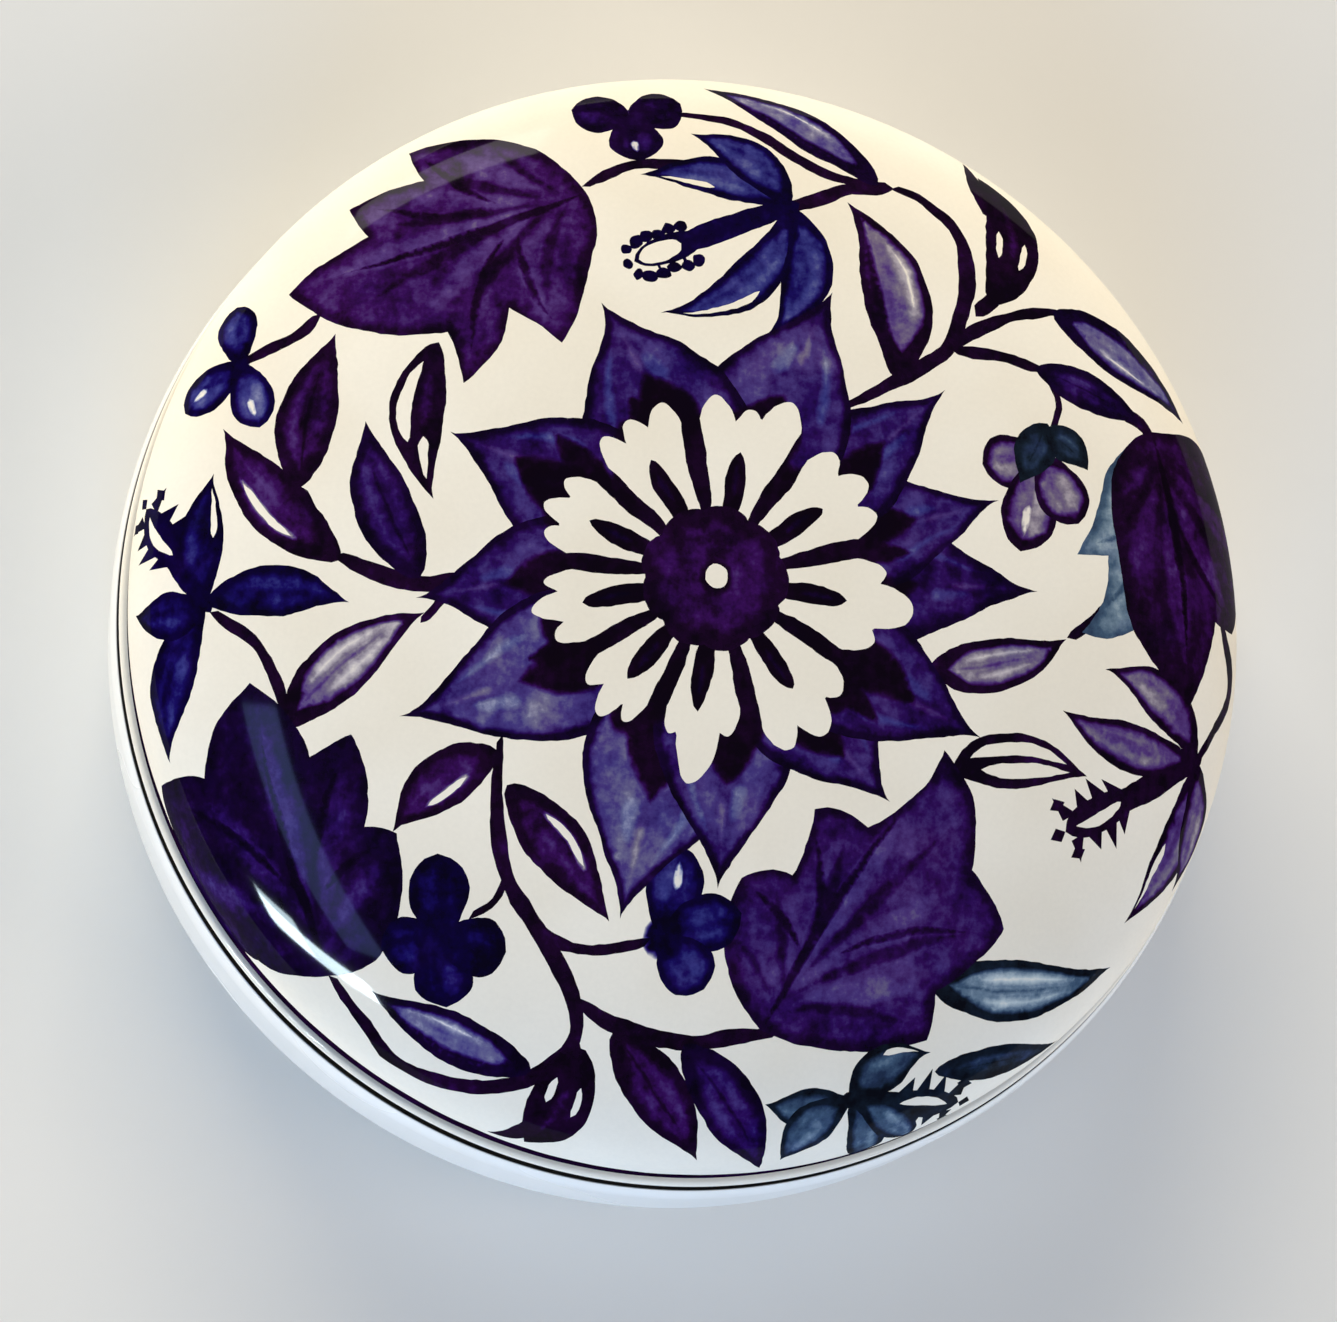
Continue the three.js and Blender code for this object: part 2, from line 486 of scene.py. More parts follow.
def beaded_tuft(tuft, along, across, hue):
    """An open tuft with round stamens about a bare middle."""
    fill(blade(tuft - along * 2.9, tuft + along * 2.5, 2.4, 0.0, 1.0, 0.5), DARK, hue)
    fill(blade(tuft - along * 1.3, tuft + along * 2.1, 1.7, 0.0, 1.0, 0.5), PAPER, hue)
    for side in (-1, 1):
        for step in range(5):
            head = tuft + along * (step * 0.95 - 2.0) + across * side * (1.5 + 0.2 * (step % 2))
            lean = along * 0.5 + across * side * (0.2 - 0.15 * step)
            fill(blade(head - lean, head + lean, 1.0, 0.1, 1.0, 0.5), DARK, hue)
            if step % 2:
                stroke([head, head - across * side * 0.8], 0.22, hue)
    for side in (-0.5, 0.0, 0.5):
        head = tuft + along * (3.1 - 0.8 * abs(side)) + across * side * 2.1
        lean = across * 0.4 + along * side * 0.4
        fill(blade(head - lean, head + lean, 0.75, 0.1, 1.0, 0.55), DARK, hue)


def lily(hub, petals, stamens, hue, light, spiked):
    """A long-petalled flower with a tuft; each petal is its end, width, bow and bare edge."""
    hub, tuft = photo(hub, stamens)
    along = (tuft - hub) / np.linalg.norm(tuft - hub)
    fill(blade(hub - along * 0.8, tuft + along * 0.4, 2.0, 0.0, 1.0, 0.5), DARK, hue)
    (spiked_tuft if spiked else beaded_tuft)(tuft, along, square(along), hue)
    for end, width, bow, bare in petals:
        end = on_skin(end)
        petal(hub, end, width, bow, hue, light, 0.92, 1.05)
        if bare:
            sides = (0.5, 0.86) if bare > 0 else (-0.86, -0.5)
            striped(hub, end, width - LINE, bow, sides, PAPER, hue, 0.0, 1.0, (0.5, 0.9), 0.92)


def bud(base, end, tip, width, bow, hook):
    """A swelling bud with a hooked point and bare slits in it."""
    base, end, tip = photo(base, end, tip)
    fill(blade(base, end, width, bow, 0.92, 0.7), DARK + 0.03)
    root = end + (base - end) * 0.3
    fill(blade(root + (root - tip) * 0.15, tip, 1.5, hook, 0.7, 0.7), DARK + 0.03)
    striped(base, end, width, bow, (-0.25, 0.2), DEEP + 0.06, VIOLET, 0.4, 0.8, (0.3, 0.85))
    striped(base, end, width, bow, (0.38, 0.6), PAPER, VIOLET, 0.0, 1.0, (0.3, 0.56))
    striped(base, end, width, bow, (-0.56, -0.32), PAPER, VIOLET, 0.0, 1.0, (0.26, 0.5))


# The rosette in the middle

OUTER_PETALS = (  # direction in degrees, length and width in mm, lean of the tip in degrees, tone
    (2, 24.4, 9.0, -1.5, DEEP + 0.1), (18, 22.7, 8.4, 0, DEEP), (41, 23.5, 8.6, 0, DEEP - 0.04),
    (70, 24.5, 11.5, -2, DEEP - 0.02), (106, 22.6, 12.4, 5, DEEP), (146, 22.0, 11.2, 5, DEEP),
    (182, 21.6, 9.8, 3, DEEP + 0.02), (213, 25.0, 10.8, -8, WASH + 0.08),
    (254, 25.8, 11.6, 1, WASH + 0.05), (275, 22.6, 10.2, -4, DEEP - 0.08),
    (306, 20.7, 10.0, 3, DEEP - 0.03), (328, 22.9, 10.0, 3, DEEP + 0.02),
)
INNER_PETALS = (  # direction in degrees, reach in mm of the end's three lobes, clockwise
    (118, 13.2, 13.4, 13.8), (78, 13.9, 13.2, 14.9), (35, 13.4, 13.9, 13.2), (-7, 12.8, 14.9, 12.6),
    (-54, 12.4, 13.8, 13.6), (-97, 11.6, 15.2, 12.0), (-130, 12.6, 13.4, 12.2),
    (-168, 12.6, 13.6, 12.4), (-203, 12.9, 13.6, 13.0),
)
# An outer petal's washes as a leaf's stripes, but with hue; on even petals both sides are swapped
PETAL_WASHES = (
    (0.25, 0.85, 0.0, INDIGO, 0.6, 0.85, (0.42, 0.9)),
    (-0.75, -0.5, -0.12, BLUE, 0.4, 0.8, (0.5, 0.84)),
    (None, None, -0.16, VIOLET, 0.5, 0.7, (0.66, 0.94)),
    (0.1, 0.5, -0.22, BLUE, 0.4, 0.6, (0.6, 0.78)),
)
MIDDLE_WASH = (-0.2, 0.15)
PETAL_GAP = 3.3  # degrees left dark between the bare petals
LOBE_MIDDLES = (0.64, 0.0, -0.64)  # share of the way from the petal's middle to its sides
EYE_RADIUS = 5.2


def polar(radius, degrees):
    return np.array([radius * math.cos(math.radians(degrees)),
                     radius * math.sin(math.radians(degrees))])


def outer_petal(number, direction, length, width, lean, tone):
    tip = polar(length, direction + lean)
    root = polar(3.0, direction)
    bow = -lean * 0.006
    fill(blade(root, tip, width, bow, 0.86, 1.2), DARK, INDIGO)
    fill(blade(root, tip, width - 2 * LINE, bow, 0.86, 1.2, (0.0, 0.97)), tone, INDIGO, 0.4)
    light = tone - 0.1
    side = 1 if number % 2 else -1
    for low, high, change, hue, soft, strength, ends in PETAL_WASHES:
        sides = MIDDLE_WASH if low is None else (low, high) if side > 0 else (-high, -low)
        striped(root, tip, width - 2 * LINE, bow, sides, light + change, hue, soft, strength, ends,
                0.86)
    blot = 15.6 + 0.9 * (number * 7 % 3)
    near, far = polar(7, direction + 3 * side), polar(blot, direction + lean * 0.5)
    fill(blade(near, far, width * 0.42, 0.05 * side, 1.1, 0.8), BLACK, VIOLET, 0.5, 0.95)
    near, far = polar(9, direction - 5 * side), polar(blot - 1.2, direction - 8 * side)
    fill(blade(near, far, width * 0.2, 0.0, 1.0, 0.8), BLACK, VIOLET, 0.3, 0.9)


def inner_petal(direction, before, after, *lobes):
    """A bare petal with a three-lobed end and a dark slit that comes out of the eye.

    before and after are the directions of its neighbours, which it leaves a narrow dark gap to."""
    spread_left = (before - direction) / 2 - PETAL_GAP
    spread_right = (direction - after) / 2 - PETAL_GAP
    edge = []
    for t in np.linspace(-1, 1, 46):
        reach = max(lobe - 1.9 * ((t - middle) / 0.36) ** 2
                    for lobe, middle in zip(lobes, LOBE_MIDDLES))
        spread = spread_left if t > 0 else spread_right
        edge.append(polar(max(reach, 9.0), direction + t * spread))
    right_root = polar(EYE_RADIUS - 0.3, direction - spread_right * 0.94)
    left_root = polar(EYE_RADIUS - 0.3, direction + spread_left * 0.94)
    left_side = bowed(edge[-1], left_root, 0.03, 20)[1:]
    right_side = bowed(right_root, edge[0], 0.03, 20)[:-1]
    fill(np.concatenate([np.array(edge), left_side, right_side]), PAPER)
    slit = blade(polar(EYE_RADIUS - 0.9, direction), polar(9.9, direction), 1.5, 0.0, 1.0, 0.42)
    fill(slit, BLACK)
    glint = blade(polar(6.2, direction), polar(9.2, direction), 0.7, 0.0, 1.0, 0.6)
    fill(glint, DARK, INDIGO, 0.25)


def rosette():
    for number, values in enumerate(OUTER_PETALS):
        outer_petal(number, *values)
    turn = full_turn(159)
    round_once = unit_circle(turn)
    ring = 12.2 + 1.5 * np.cos(9 * turn - math.radians(9 * 78))
    fill(ring[:, None] * round_once, BLACK - 0.02, VIOLET, 0.5, 0.97)
    directions = [values[0] for values in INNER_PETALS]
    before = [directions[-1] + 360] + directions[:-1]
    after = directions[1:] + [directions[0] - 360]
    for earlier, later, (direction, *lobes) in zip(before, after, INNER_PETALS):
        inner_petal(direction, earlier, later, *lobes)
    scallop = EYE_RADIUS - 0.25 + 0.5 * np.abs(np.cos(4.5 * turn)) ** 0.5
    fill(scallop[:, None] * round_once, DARK, VIOLET)
    fill(0.84 * scallop[:, None] * round_once, DEEP + 0.06, VIOLET, 1.0, 0.9)
    dot = round_once[::8]
    fill(1.35 * dot, DARK + 0.04, VIOLET, 0.35)
    fill(0.85 * dot + polar(0.1, 60), PAPER, VIOLET, 0.0)


# The layout. Each pair of whole numbers is a pixel of the photograph's frame that the drawn place
# lies under.

THICK, MEDIUM, THIN = 1.15, 0.88, 0.62
VINES = (  # width in mm, then the pixels that the line goes through
    (THICK, ((842, 408), (880, 388), (920, 368), (950, 345), (966, 290), (958, 235), (925, 203),
             (890, 186))),
    (THICK, ((892, 186), (850, 190), (812, 200), (770, 214))),
    (MEDIUM, ((880, 184), (835, 178), (790, 154), (735, 124), (672, 114))),
    (MEDIUM, ((583, 188), (612, 172), (642, 163), (704, 166))),
    (MEDIUM, ((950, 350), (985, 325), (1040, 312), (1060, 312))),
    (MEDIUM, ((950, 350), (1000, 356), (1045, 370))),
    (THIN, ((1045, 372), (1060, 402), (1052, 438))),
    (THICK, ((1120, 412), (1140, 424), (1152, 440))),
    (THICK, ((474, 574), (430, 585), (384, 576), (334, 554))),
    (MEDIUM, ((334, 556), (316, 525), (304, 486))),
    (MEDIUM, ((322, 312), (300, 336), (262, 354), (240, 364))),
    (THIN, ((446, 590), (420, 622))),
    (MEDIUM, ((286, 722), (276, 680), (256, 644), (212, 610))),
    (THICK, ((500, 735), (496, 800), (508, 880), (545, 940), (572, 995), (574, 1040), (530, 1078),
             (470, 1086), (402, 1066), (362, 1020), (330, 975))),
    (THIN, ((508, 872), (494, 900), (468, 918))),
    (MEDIUM, ((512, 886), (540, 930), (586, 950), (650, 940))),
    (THICK, ((573, 1000), (620, 1026), (685, 1042), (780, 1032))),
    (MEDIUM, ((572, 1035), (574, 1066))),
    (MEDIUM, ((1222, 620), (1230, 690), (1212, 735), (1194, 764))),
    (THICK, ((1014, 280), (996, 297), (974, 314))),
    (MEDIUM, ((928, 668), (900, 672))),
    (MEDIUM, ((1070, 640), (1095, 622), (1112, 600))),
)
VINE_LEAVES = (  # pixels of the base and the tip, width in mm, bow, look and hue
    ((300, 490), (338, 333), 4.5, 0.06, "dark", VIOLET),
    ((340, 560), (222, 430), 4.6, 0.06, "slit", VIOLET),
    ((420, 579), (366, 422), 4.5, 0.06, "dark", INDIGO),
    ((284, 727), (425, 612), 4.3, 0.06, "pale", VIOLET),
    ((878, 184), (702, 89), 3.8, -0.06, "shaded", INDIGO),
    ((896, 378), (848, 203), 5.3, -0.12, "shaded", VIOLET),
    ((440, 342), (434, 498), 4.0, -0.12, "loop", VIOLET),
    ((1052, 311), (1184, 424), 4.4, 0.05, "shaded", INDIGO),
    ((1036, 368), (1144, 428), 3.2, 0.04, "dark", INDIGO),
    ((928, 668), (1068, 640), 4.0, -0.07, "pale", VIOLET),
    ((952, 770), (1088, 774), 4.2, 0.08, "open", VIOLET),
    ((497, 750), (392, 832), 4.0, -0.07, "slit", VIOLET),
    ((506, 784), (608, 922), 4.2, 0.03, "slit", VIOLET),
    ((532, 1070), (372, 991), 3.8, 0.04, "shaded", INDIGO),
    ((614, 1030), (698, 1160), 4.3, 0.02, "dark", VIOLET),
    ((682, 1044), (760, 1168), 4.4, 0.05, "dark", INDIGO),
    ((926, 978), (1110, 968), 4.6, -0.08, "pale", SLATE),
    ((934, 1072), (1058, 1040), 2.8, 0.0, "dark", SLATE),
)
BUDS = (  # pixels of the base, the body's end and the hooked tip, width in mm, bows of both
    ((573, 1046), (524, 1142), (486, 1131), 4.7, 0.1, 0.1),
    ((990, 302), (978, 178), (961, 163), 4.7, -0.17, 0.0),
)
# Corner pixels from the base round, how far the edge to the next corner stands out, the number of
# the tip's corner, hue, tone and the numbers of the corners that lie between lobes
BROAD_LEAVES = (
    (((586, 192), (409, 154), (424, 182), (349, 210), (368, 237), (290, 294), (400, 336),
      (449, 332), (464, 383), (509, 307), (561, 343), (592, 250)),
     (0.19, 0.02, 0.05, 0.03, 0.05, 0.1, 0.02, -0.05, 0.12, -0.02, 0.05, 0.12), 5, VIOLET, DEEP,
     (2, 4, 6, 7, 9, 11)),
    (((332, 976), (258, 960), (204, 905), (162, 787), (205, 780), (249, 684), (310, 758),
      (352, 733), (365, 826), (397, 834), (384, 950)),
     (0.08, 0.12, 0.05, 0.1, 0.12, 0.1, 0.02, 0.1, 0.05, 0.1, 0.12), 5, INDIGO, DEEP + 0.15,
     (1, 2, 4, 6, 8, 10)),
    (((1152, 432), (1105, 475), (1078, 553), (1107, 556), (1084, 634), (1138, 628), (1190, 704),
      (1216, 620), (1232, 632), (1222, 520)),
     (0.1, -0.04, 0.04, -0.1, 0.12, -0.06, 0.04, 0.03, 0.08, 0.12), 6, SLATE, PALE + 0.12,
     (1, 3, 5, 7, 9)),
    (((1152, 432), (1112, 475), (1118, 560), (1134, 632), (1190, 704), (1216, 622), (1232, 634),
      (1224, 520)), (0.14, 0.04, 0.03, 0.05, 0.05, 0.03, 0.08, 0.12), 4, VIOLET, DEEP + 0.15,
     (1, 2, 3, 5, 7)),
    (((762, 1030), (742, 876), (791, 874), (815, 810), (868, 826), (944, 750), (972, 870),
      (1004, 928), (936, 990), (926, 1040)),
     (0.18, 0.1, -0.06, 0.12, -0.1, 0.14, 0.06, 0.08, 0.02, 0.1), 5, PURPLE, DEEP - 0.01,
     (2, 4, 6, 8, 9)),
)
# Pixels of the hub and of the petals' ends, width in mm, hue, tone, eye in mm, streaked petals
SMALL_FLOWERS = (
    ((240, 364), ((237, 308), (184, 414), (261, 428)), 3.5, BLUE, WASH + 0.02, 0.9, (1, 2)),
    ((1042, 456), ((982, 464), (1020, 552), (1078, 524)), 4.3, VIOLET, WASH - 0.14, 0.8, (1,)),
    ((664, 938), ((682, 846), (742, 912), (704, 990)), 4.2, BLUE, WASH + 0.14, 1.7, (0,)),
    ((440, 940), ((438, 854), (382, 948), (446, 1008), (508, 952)), 4.3, BLUE, WASH + 0.26, 1.4,
     ()),
    ((630, 118), ((572, 110), (680, 104), (640, 160)), 4.2, INDIGO, DEEP + 0.04, 1.0, (2,)),
)
CALYX = (  # two leaflets on a small flower, as the vine leaves
    ((1048, 424), (1020, 482), 3.4, 0.0, "dark", SLATE),
    ((1046, 432), (1088, 470), 3.0, 0.1, "dark", SLATE),
)
# Pixel of the hub, then each petal's end pixel, width in mm, bow and bare edge, the tuft's pixel,
# hue, tone and whether the tuft is spiked
LILIES = (
    ((790, 206),
     (((640, 174), 3.6, -0.1, 1), ((690, 134), 3.8, -0.12, 0), ((660, 314), 3.6, 0.18, 1),
      ((766, 334), 3.8, 0.2, 0)),
     (664, 250), BLUE, WASH - 0.02, False),
    ((206, 604),
     (((216, 474), 3.8, 0.08, -1), ((348, 602), 3.9, 0.08, 0), ((170, 762), 3.8, -0.1, 0),
      ((136, 616), 3.6, 0.1, 0)),
     (160, 536), BLUE, WASH + 0.16, True),
    ((1196, 760),
     (((1104, 668), 3.8, -0.14, 0), ((1062, 710), 3.6, 0.08, 0), ((1124, 924), 3.8, 0.1, -1),
      ((1172, 892), 3.4, 0.08, 0)),
     (1098, 814), VIOLET, WASH - 0.12, True),
    ((850, 1100),
     (((764, 1104), 3.4, 0.08, 0), ((930, 1052), 3.6, 0.12, 1), ((780, 1160), 3.6, -0.1, 0),
      ((846, 1156), 3.2, 0.1, 0), ((905, 1135), 3.0, 0.1, 0)),
     (926, 1104), SLATE, WASH - 0.02, True),
)


def draw_plants():
    for width, pixels in VINES:
        stroke(photo(*pixels), width)
    for values in VINE_LEAVES:
        leaf(*values)
    for values in BUDS:
        bud(*values)
    for values in BROAD_LEAVES:
        broad_leaf(*values)
    for values in SMALL_FLOWERS:
        small_flower(*values)
    for values in CALYX:
        leaf(*values)
    for values in LILIES:
        lily(*values)


def painted_shade_band():
    """Painted shade: a dark band round the foot of the skirt, over the bead, where the skirt rounds
    into it.
    """
    round_once = unit_circle(full_turn(259))
    fill((SKIN_EDGE + 1.5) * round_once, DARK, VIOLET)
    fill((SKIN_EDGE - SHADE_BAND_HEIGHT) * round_once, PAPER, VIOLET)


def draw_print():
    painted_shade_band()
    draw_plants()
    rosette()


# From the drawing to a mesh

GRID_SPACING = 0.62
ROW_SHARE = 0.866  # distance of the grid's rows as a share of the spacing
RIM_MARGIN = 0.3   # no grid point lies nearer the rim
RIM_POINTS = 360


def grid_points():
    """Rows of points over the skin, each row set off by half a step from the last."""
    points = []
    reach = SKIN_EDGE - RIM_MARGIN
    rows = int(2 * reach / (GRID_SPACING * ROW_SHARE))
    for row in range(rows + 1):
        y = -reach + row * GRID_SPACING * ROW_SHARE
        shift = (row % 2) * GRID_SPACING / 2
        for x in np.arange(-reach + shift, reach, GRID_SPACING):
            if math.hypot(x, y) < reach:
                points.append((x, y))
    return points


def segment_distance(points, loop):
    """How far each point is from a loop."""
    ends = np.roll(loop, -1, 0)
    run = ends - loop
    size = np.sum(run ** 2, 1) + 1e-12
    offset = points[:, None, :] - loop[None, :, :]
    t = np.clip(np.sum(offset * run[None], 2) / size, 0, 1)
    gap = offset - t[..., None] * run[None]
    return np.sqrt(np.min(np.sum(gap ** 2, 2), 1))


def triangulated_skin():
    """Points and triangles of the unrolled skin that keep every drawn edge, with their ink."""
    rim = SKIN_EDGE * unit_circle(full_turn(RIM_POINTS))
    points = [tuple(p) for p in rim]
    loops = [list(range(RIM_POINTS))]
    for shape in shapes:
        start = len(points)
        points += [tuple(p) for p in shape["loop"]]
        loops.append(list(range(start, len(points))))
    for shape in shapes:
        for row in shape["inner"]:
            points += [tuple(p) for p in row if math.hypot(*p) < SKIN_EDGE - RIM_MARGIN]
    points += grid_points()
    found = geometry.delaunay_2d_cdt([Vector(p) for p in points], [], loops, 0, 1e-4, False)
    flat = np.array([tuple(v) for v in found[0]])
    faces = np.array([face for face in found[2] if len(face) == 3])
    a, b, c = flat[faces[:, 0]], flat[faces[:, 1]], flat[faces[:, 2]]
    ab, ac = b - a, c - a
    turned = ab[:, 0] * ac[:, 1] - ab[:, 1] * ac[:, 0] < 0
    faces[turned] = faces[turned][:, ::-1]
    faces = faces[enclosed((a + b + c) / 3, rim)]
    middles = flat[faces].mean(1)

    tone = np.zeros((len(faces), 3))
    hue = np.zeros((len(faces), 3))
    for shape in shapes:
        low, high = shape["loop"].min(0), shape["loop"].max(0)
        near = np.nonzero(np.all((middles > low) & (middles < high), 1))[0]
        members = near[enclosed(middles[near], shape["loop"])]
        if not len(members):
            continue
        corners = faces[members]
        weight = np.full(corners.shape, shape["strength"])
        if shape["soft"] > 0:
            used, back = np.unique(corners, return_inverse=True)
            depth = segment_distance(flat[used], shape["loop"]) / shape["soft"]
            depth = np.clip(depth, 0, 1)
            smooth = depth * depth * (3 - 2 * depth)
            weight = weight * smooth[back].reshape(corners.shape)
        tone[members] += (shape["tone"] - tone[members]) * weight
        hue[members] += (shape["hue"] - hue[members]) * weight
    return flat, faces, tone, hue


def arc(centre_radius, centre_height, run, rise, start, end, steps):
    angle = np.radians(np.linspace(start, end, steps + 1))
    return [(centre_radius + run * math.cos(a), centre_height + rise * math.sin(a)) for a in angle]


SHARP_ANGLE = 38  # degrees; a section turns a sharp corner above this
ON_AXIS = 1e-6


def section_normals(section):
    """Normals at the start and end of each piece of a section, shared where it is smooth."""
    section = np.array(section)
    run = np.diff(section, axis=0)
    flat = np.stack([run[:, 1], -run[:, 0]], 1)
    flat /= np.linalg.norm(flat, axis=1)[:, None]
    starts, ends = flat.copy(), flat.copy()
    for index in range(len(flat) - 1):
        if flat[index] @ flat[index + 1] > math.cos(math.radians(SHARP_ANGLE)):
            shared = flat[index] + flat[index + 1]
            shared /= np.linalg.norm(shared)
            ends[index] = shared
            starts[index + 1] = shared
    return starts, ends


class Skin:
    """Collects points, faces, normals and ink for one closed piece."""

    def __init__(self):
        self.points = []
        self.faces = []
        self.normals = []
        self.ink = []
        self.material = []

    def face(self, corners, normals, material, ink):
        self.faces.append(corners)
        self.normals += [tuple(n) for n in normals]
        self.ink += ink
        self.material.append(material)

    def turned(self, section, materials, turn, ring_tones=None):
        """Faces of a turned section that runs up on its outer side; its ends may be on the axis."""
        starts, ends = section_normals(section)
        count = len(turn)
        cos, sin = np.cos(turn), np.sin(turn)

        def place(radius, height):
            first = len(self.points)
            if radius < ON_AXIS:
                self.points.append((0.0, 0.0, height))
                return [first] * count
            self.points += [(radius * math.cos(a), radius * math.sin(a), height) for a in turn]
            return list(range(first, first + count))

        def spun(normal, k):
            return normal[0] * cos[k], normal[0] * sin[k], normal[1]

        lower = place(*section[0])
        for index in range(len(section) - 1):
            upper = place(*section[index + 1])
            start, end = starts[index], ends[index]
            tone = ring_tones[index] if ring_tones else PAPER
            for k in range(count):
                after = (k + 1) % count
                corners = [lower[k], lower[after], upper[after], upper[k]]
                normals = [spun(start, k), spun(start, after), spun(end, after), spun(end, k)]
                if lower[k] == lower[after]:
                    corners, normals = corners[1:], normals[1:]
                elif upper[k] == upper[after]:
                    corners, normals = corners[:3], normals[:3]
                ink = (tone, VIOLET, float(tone < DARK))
                self.face(corners, normals, materials[index], [ink] * len(corners))
            lower = upper
        return lower

    def build(self, name, materials):
        mesh = bpy.data.meshes.new(name)
        mesh.from_pydata([(x * MM, y * MM, z * MM) for x, y, z in self.points], [], self.faces)
        mesh.polygons.foreach_set("use_smooth", [True] * len(self.faces))
        mesh.polygons.foreach_set("material_index", self.material)
        for material in materials:
            mesh.materials.append(material)
        # Per corner: print tone, hue and gloss; the tones also carry the painted shade at the
        # skirt's foot and crease.
        ink = mesh.attributes.new("print_and_painted_shade", "FLOAT_VECTOR", "CORNER")
        ink.data.foreach_set("vector", np.array(self.ink, np.float32).ravel())
        mesh.normals_split_custom_set(self.normals)
        mesh.validate(clean_customdata=False)
        piece = bpy.data.objects.new(name, mesh)
        bpy.context.scene.collection.objects.link(piece)
        return piece


OUTSIDE, INSIDE = 0, 1
INNER_STEPS = 14
CURL_STEPS = 10
CORNER_STEPS = 16
SHOULDER_STEPS = 14
INNER_CORNER_STEPS = 10
INNER_SHOULDER_STEPS = 8
CREASE_LIFT = 0.02
FOOT_EASE = (0.03, 0.05)  # rounding of the skirt's foot into the crease
BASE_TURNS = 360


def make_lid(materials):
    draw_print()
    flat, faces, tone, hue = triangulated_skin()
    places, normals = skin_places(flat)
    skin = Skin()
    skin.points = [tuple(p) for p in places]
    edge_length = np.hypot(flat[:, 0], flat[:, 1])
    for face, tones, hues in zip(faces.tolist(), tone, hue):
        gloss = min(max((SKIN_EDGE - SHADE_BAND_HEIGHT - edge_length[face].mean()) / DULL_EDGE, 0.0), 1.0)
        skin.face(face, normals[face], OUTSIDE, [(t, h, gloss) for t, h in zip(tones, hues)])

    # The edges that only one face uses, followed round the rim
    edges = {}
    for face in faces.tolist():
        for k in range(3):
            pair = (face[k], face[(k + 1) % 3])
            if pair[::-1] in edges:
                del edges[pair[::-1]]
            else:
                edges[pair] = True
    following = dict(edges.keys())
    start = min(following)
    order = [start]
    while following[order[-1]] != start:
        order.append(following[order[-1]])
    turn = np.array([math.atan2(flat[i, 1], flat[i, 0]) for i in order])

    inner_radius = LID_RADIUS - SHEET
    curl_centre = inner_radius + CURL_RADIUS
    crease_angle = math.degrees(math.acos((LID_RADIUS - curl_centre) / CURL_RADIUS))
    curl = arc(curl_centre, EDGE_HEIGHT + CURL_RADIUS, CURL_RADIUS, CURL_RADIUS, -180, crease_angle,
               CURL_STEPS)
    crease = (LID_RADIUS - CREASE_DEPTH, curl[-1][1] + CREASE_LIFT)
    foot = (LID_RADIUS - FOOT_EASE[0], SKIN_END_HEIGHT - FOOT_EASE[1])
    inner = [(0.0, DOME_FOOT + (DOME_HEIGHT - SHEET))]
    for angle in np.linspace(math.pi / 2, 0, INNER_STEPS + 1)[1:]:
        radius = inner_radius * math.cos(angle) ** (2 / DOME_FULLNESS)
        height = DOME_FOOT + (DOME_HEIGHT - SHEET) * math.sin(angle) ** (2 / DOME_FULLNESS)
        inner.append((radius, height))
    section = inner + curl + [crease, foot, (LID_RADIUS, SKIN_END_HEIGHT)]
    looks = [INSIDE] * (len(inner)) + [OUTSIDE] * (len(section) - len(inner) - 1)
    # The crease and the skirt's foot rings are inked dark: painted shade in the crease over the
    # bead.
    ring_tones = [PAPER] * (len(inner) + len(curl) - 1) + [DARK] * 3
    # The section ends on the skin's own rim points, so its last ring is joined to them.
    last = skin.turned(section, looks, turn, ring_tones)
    joined = dict(zip(last, order))
    skin.faces = [[joined.get(i, i) for i in face] for face in skin.faces]
    used = sorted({i for face in skin.faces for i in face})
    renumber = {old: new for new, old in enumerate(used)}
    skin.points = [skin.points[i] for i in used]
    skin.faces = [[renumber[i] for i in face] for face in skin.faces]
    return skin.build("tin_lid", materials)


def make_base(materials):
    corner_centre = BODY_RADIUS - CORNER_RADIUS
    foot_inner = corner_centre - FOOT_WIDTH
    seat_edge = BODY_RADIUS - SHOULDER_RUN
    shoulder_foot = SEAT_HEIGHT - SHOULDER_DROP
    neck_radius = LID_RADIUS - SHEET - NECK_CLEARANCE
    neck_inner = neck_radius - SHEET
    neck_top = SEAT_HEIGHT + NECK_HEIGHT
    under = [(0.0, PANEL_RISE), (foot_inner - PANEL_STEP, PANEL_RISE), (foot_inner, 0.0)]
    outer = arc(corner_centre, CORNER_RADIUS, CORNER_RADIUS, CORNER_RADIUS, -90, 0, CORNER_STEPS)
    outer += arc(seat_edge, shoulder_foot, SHOULDER_RUN, SHOULDER_DROP, 0, LIP_ANGLE,
                 SHOULDER_STEPS)
    lip = outer[-1]
    groove_foot = lip[1] - GAP_DROP
    outer += [(lip[0] - inward, lip[1] + upward) for inward, upward in LIP_ROUNDING]
    outer += [(lip[0] - LIP_WIDTH, groove_foot), (neck_radius, groove_foot)]
    outer += arc(neck_radius - CURL_RADIUS, neck_top - CURL_RADIUS, CURL_RADIUS, CURL_RADIUS,
                 0, 180, CURL_STEPS)
    inner = [(neck_inner, neck_top - 2 * CURL_RADIUS), (neck_inner, groove_foot - SHEET)]
    inner += arc(seat_edge, shoulder_foot, SHOULDER_RUN - SHEET, SHOULDER_DROP - SHEET,
                 INNER_LIP_ANGLE, 0, INNER_SHOULDER_STEPS)
    inner_corner = CORNER_RADIUS - SHEET
    inner += arc(corner_centre, CORNER_RADIUS, inner_corner, inner_corner, 0, -90,
                 INNER_CORNER_STEPS)
    inner += [(foot_inner, SHEET), (foot_inner - PANEL_STEP, PANEL_RISE + SHEET),
              (0.0, PANEL_RISE + SHEET)]
    section = under + outer + inner
    looks = [OUTSIDE] * (len(under) + len(outer) - 1) + [INSIDE] * len(inner)
    skin = Skin()
    skin.turned(section, looks, full_turn(BASE_TURNS))
    return skin.build("tin_base", materials)


# Materials

